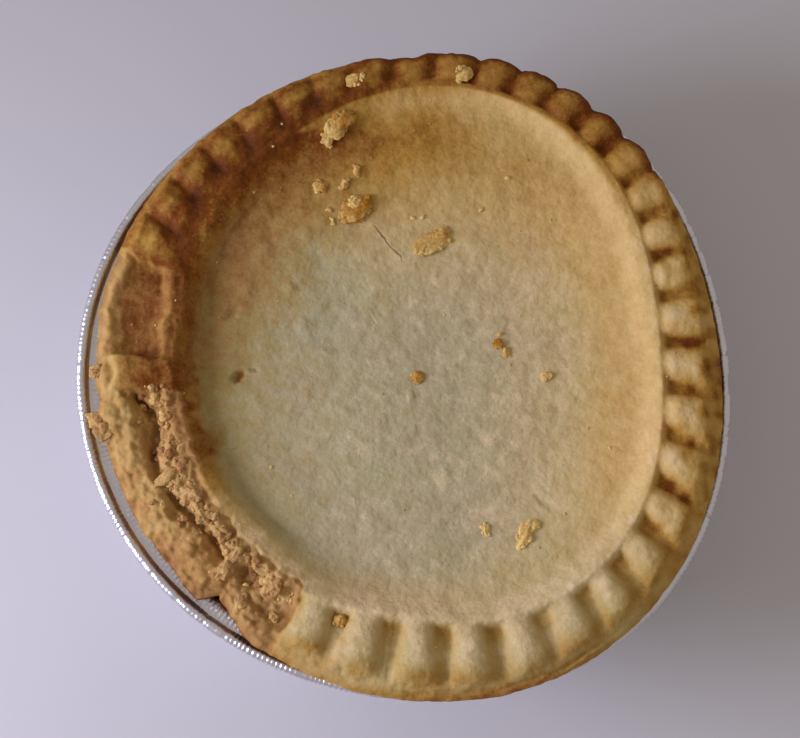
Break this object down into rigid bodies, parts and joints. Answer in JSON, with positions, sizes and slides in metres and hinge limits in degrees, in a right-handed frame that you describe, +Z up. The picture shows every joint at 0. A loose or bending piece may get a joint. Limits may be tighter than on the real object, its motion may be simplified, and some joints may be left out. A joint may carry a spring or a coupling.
{
  "type": "meat and potato pie",
  "caption": "Small savoury shortcrust pie with a sunk lid, thumb-crimped rim broken along one side, standing in its pressed and pleated foil tin.",
  "frame": {"origin": "centre of the overall box at its base, under the middle of the tin's floor", "axes": "+Z up through the lid, +Y towards the browned far side of the rim, +X to the right with the broken rim on the left"},
  "size_m": [0.1125, 0.1126, 0.0375],
  "materials": {
    "foil": "bright pressed foil, pleated wall, rolled rim",
    "pastry": null
  },
  "bodies": {
    "root": {"foil_tin": "foil", "pie": "pastry"}
  },
  "joints": []
}
